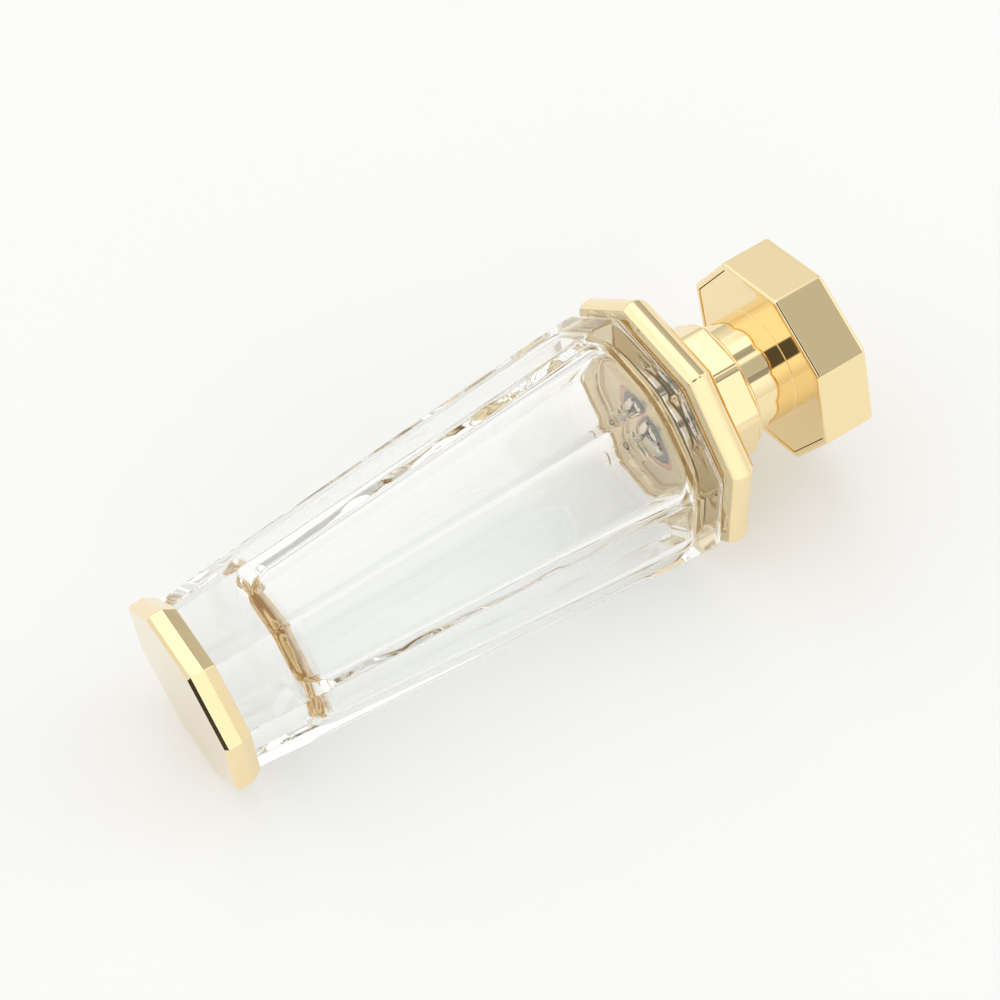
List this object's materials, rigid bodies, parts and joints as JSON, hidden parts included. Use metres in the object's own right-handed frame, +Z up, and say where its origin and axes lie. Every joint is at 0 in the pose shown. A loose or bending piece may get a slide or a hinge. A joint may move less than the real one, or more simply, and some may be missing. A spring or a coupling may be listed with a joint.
{
  "type": "perfume bottle",
  "caption": "Tapered octagonal clear glass perfume bottle with gold foot, shoulder plate and neck ring, a crimped spray pump and a lift-off octagonal knob cap.",
  "frame": {"origin": "centre of the foot's flat underside", "axes": "+Z up the bottle's axis from the foot to the cap; +X and +Y square to flats of the octagon; the spray hole faces -Y"},
  "size_m": [0.0448, 0.0448, 0.1238],
  "materials": {
    "rose_gold_plating": "mirror-polished pinkish gold plating",
    "gold_plating": "mirror-polished pale gold plating",
    "gold_anodised": "bright gold anodised aluminium",
    "clear_glass": "clear polished flint glass",
    "clear_tube": "clear flexible fluoropolymer tube",
    "natural_plastic": "natural translucent polypropylene",
    "white_plastic": "satin white plastic",
    "spring_steel": "bright stainless wire and ball",
    "gasket_rubber": "soft pale gasket",
    "clear_adhesive": "thin clear cured adhesive",
    "zinc_casting": "plain die-cast zinc weight"
  },
  "bodies": {
    "bottle": {"foot_plate": "rose_gold_plating", "foot_pad": "clear_adhesive", "glass_bottle": "clear_glass", "shoulder_pad": "clear_adhesive", "shoulder_plate": "gold_plating", "neck_ring": "gold_plating", "cap_seat": "gold_plating", "pump_collar": "gold_anodised", "crimp_ferrule": "gold_anodised", "neck_gasket": "gasket_rubber", "pump_housing": "natural_plastic", "pump_closure": "white_plastic", "dip_tube": "clear_tube", "return_spring": "spring_steel"},
    "valve": {"valve_ball": "spring_steel"},
    "plunger": {"pump_piston": "natural_plastic", "pump_stem": "white_plastic"},
    "actuator": {"actuator_core": "white_plastic", "actuator_sleeve": "gold_anodised", "spray_nozzle": "white_plastic"},
    "cap": {"cap_shell": "gold_plating", "cap_insert": "gold_plating", "cap_liner": "natural_plastic", "cap_weight": "zinc_casting"}
  },
  "joints": [
    {"name": "cap_lift", "type": "slide", "parent": "bottle", "child": "cap", "axis": [0, 0, 1], "range_m": [0, 0.03]},
    {"name": "pump_stroke", "type": "slide", "parent": "bottle", "child": "plunger", "axis": [0, 0, -1], "range_m": [0, 0.004], "stiffness_N_per_m": 900, "springref_m": -0.002, "deforming": ["return_spring"]},
    {"name": "actuator_turn", "type": "hinge", "parent": "plunger", "child": "actuator", "pos_m": [0, 0, 0.112], "axis": [0, 0, 1], "continuous": true},
    {"name": "ball_lift", "type": "slide", "parent": "bottle", "child": "valve", "axis": [0, 0, 1], "range_m": [0, 0.0006]}
  ]
}
